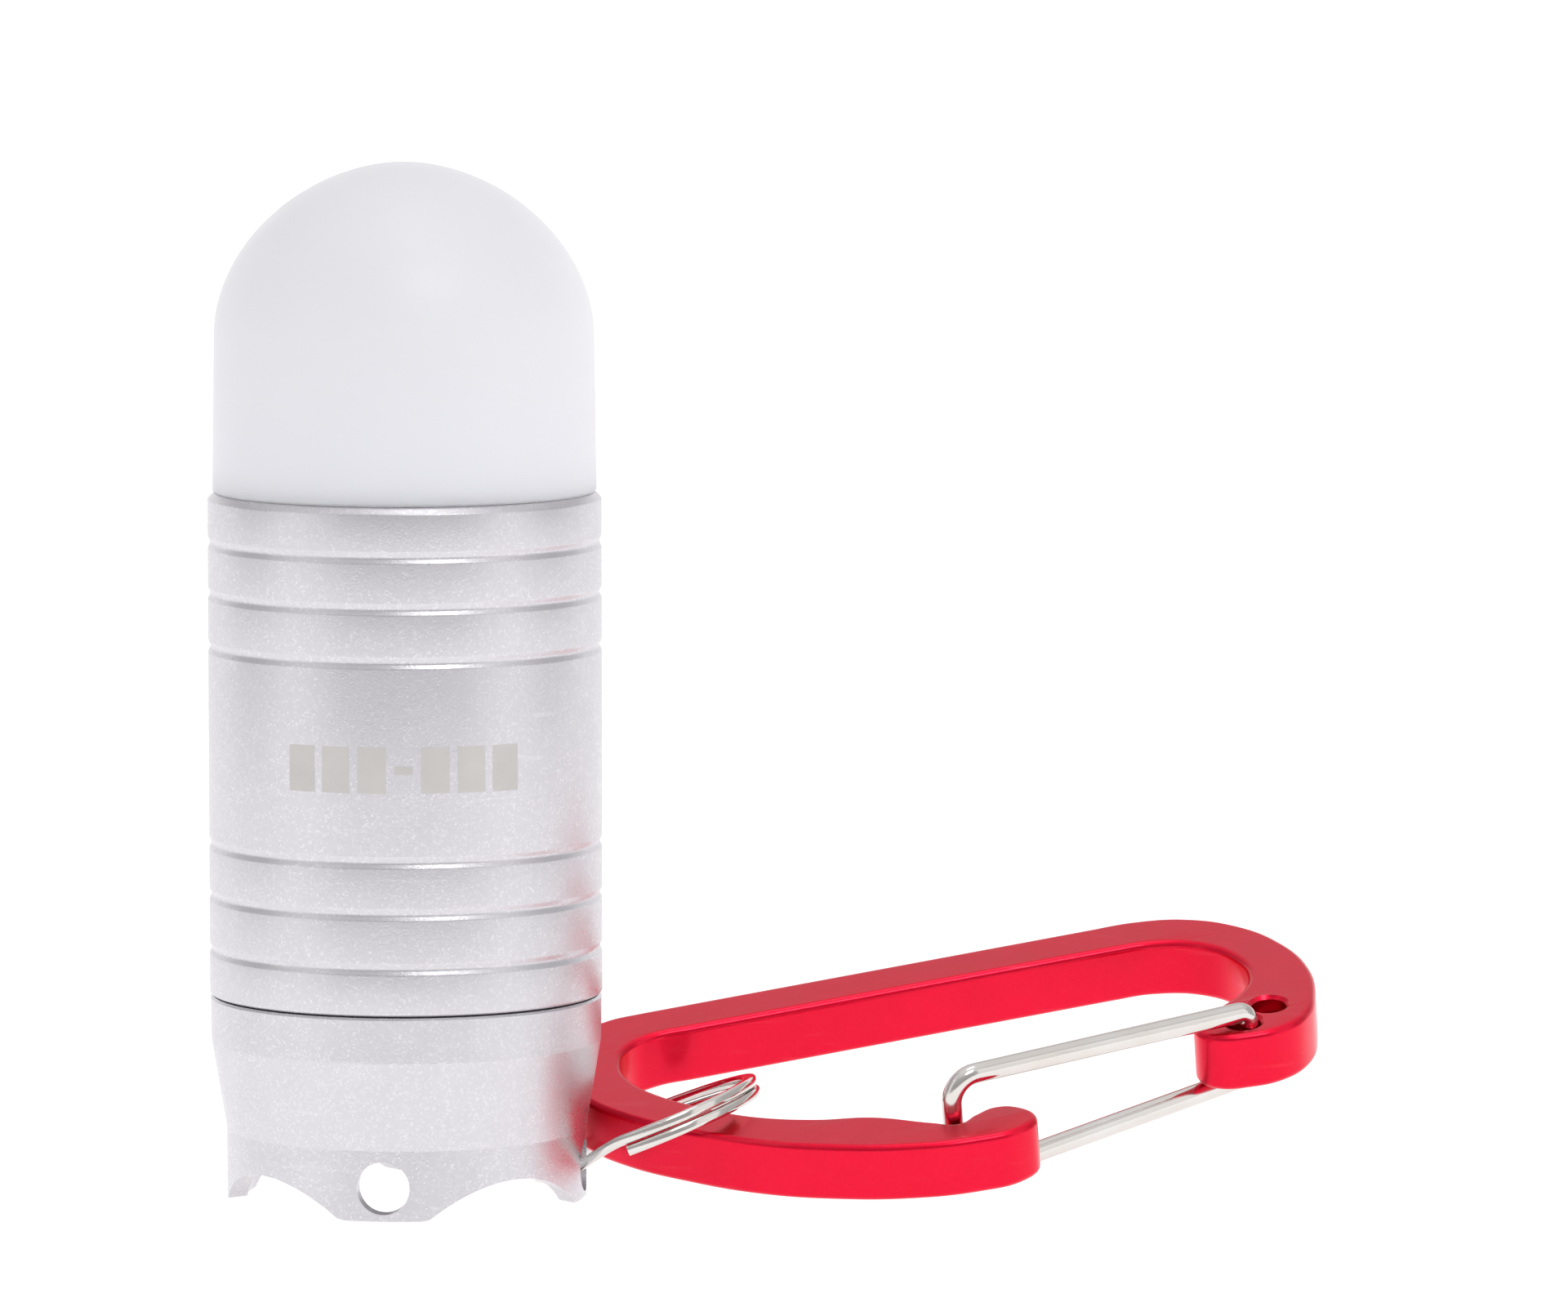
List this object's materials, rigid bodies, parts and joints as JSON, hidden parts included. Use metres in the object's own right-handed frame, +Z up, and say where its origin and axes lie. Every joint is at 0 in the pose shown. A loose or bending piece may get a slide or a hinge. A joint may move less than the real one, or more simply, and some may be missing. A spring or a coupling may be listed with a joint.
{
  "type": "keychain flashlight",
  "caption": "Small round torch with an opal lantern dome, a tail button recessed between four lugs, and a snap carabiner on a split ring.",
  "frame": {"origin": "middle of the whole object's footprint, at the height of the lug tips that the torch stands on", "axes": "+Z up along the torch axis, +X towards the nose of the carabiner, along the object's longest side, +Y away from the viewer, along its shortest side"},
  "size_m": [0.0685, 0.0365, 0.0633],
  "materials": {
    "blasted_aluminium": "bead-blasted and clear anodised",
    "opal_plastic": "opal white, satin gloss",
    "red_anodised": "bright red anodised",
    "polished_steel": "polished spring steel",
    "black_rubber": "matt",
    "plain_aluminium": "turned",
    "green_board": "solder mask",
    "white_plastic": "moulded",
    "led_lens": "phosphor lens",
    "black_plastic": "moulded",
    "spring_steel": "drawn wire",
    "cell_steel": "nickel plated",
    "contact_brass": "plated sheet"
  },
  "bodies": {
    "torch": {"battery_carrier": "black_plastic", "board_lock_ring": "plain_aluminium", "body_sleeve": "blasted_aluminium", "button_cell_1": "cell_steel", "button_cell_2": "cell_steel", "button_cell_3": "cell_steel", "carrier_bottom_contact": "contact_brass", "carrier_top_contact": "contact_brass", "diffuser_dome": "opal_plastic", "dome_o_ring": "black_rubber", "heat_sink_plate": "plain_aluminium", "led_board": "green_board", "led_emitter": "led_lens", "light_reflector": "white_plastic", "top_contact_spring": "spring_steel"},
    "cap_seal": {"cap_o_ring": "black_rubber"},
    "cap": {"tail_cap": "blasted_aluminium", "switch_body": "black_plastic", "switch_board": "green_board", "switch_lock_ring": "plain_aluminium", "tail_contact_spring": "spring_steel", "plunger_spring": "spring_steel"},
    "button": {"button_boot": "black_rubber", "switch_plunger": "white_plastic"},
    "ring": {"split_ring": "polished_steel"},
    "carabiner": {"carabiner_frame": "red_anodised"},
    "gate": {"gate_wire": "polished_steel"}
  },
  "joints": [
    {"name": "cap_travel", "type": "slide", "parent": "torch", "child": "cap_seal", "axis": [0, 0, -1], "range_m": [0, 0.0055]},
    {"name": "cap_turn", "type": "hinge", "parent": "cap_seal", "child": "cap", "pos_m": [-0.02226, -0.00626, 0], "axis": [0, 0, -1], "range_deg": [0, 1980]},
    {"name": "button_press", "type": "slide", "parent": "cap", "child": "button", "axis": [0, 0, 1], "range_m": [0, 0.001], "stiffness_N_per_m": 500, "deforming": ["plunger_spring"]},
    {"name": "ring_swing", "type": "hinge", "parent": "cap", "child": "ring", "pos_m": [-0.013, -0.00368, 0.00155], "axis": [0.2633, -0.9522, 0.1548], "range_deg": [-40, 0]},
    {"name": "carabiner_swing", "type": "hinge", "parent": "ring", "child": "carabiner", "pos_m": [-0.00764, -0.00209, 0.00356], "axis": [0.7432, 0.6182, 0.2559], "range_deg": [-2, 18]},
    {"name": "gate_open", "type": "hinge", "parent": "carabiner", "child": "gate", "pos_m": [0.03013, 0.00317, 0.00999], "axis": [0.0688, 0.3099, -0.9483], "range_deg": [0, 27], "stiffness_Nm_per_rad": 0.004, "springref_deg": -8.59}
  ],
  "couplings": [
    {"joint": "cap_turn", "follows": "cap_travel", "rad_per_m": 6283.2}
  ]
}
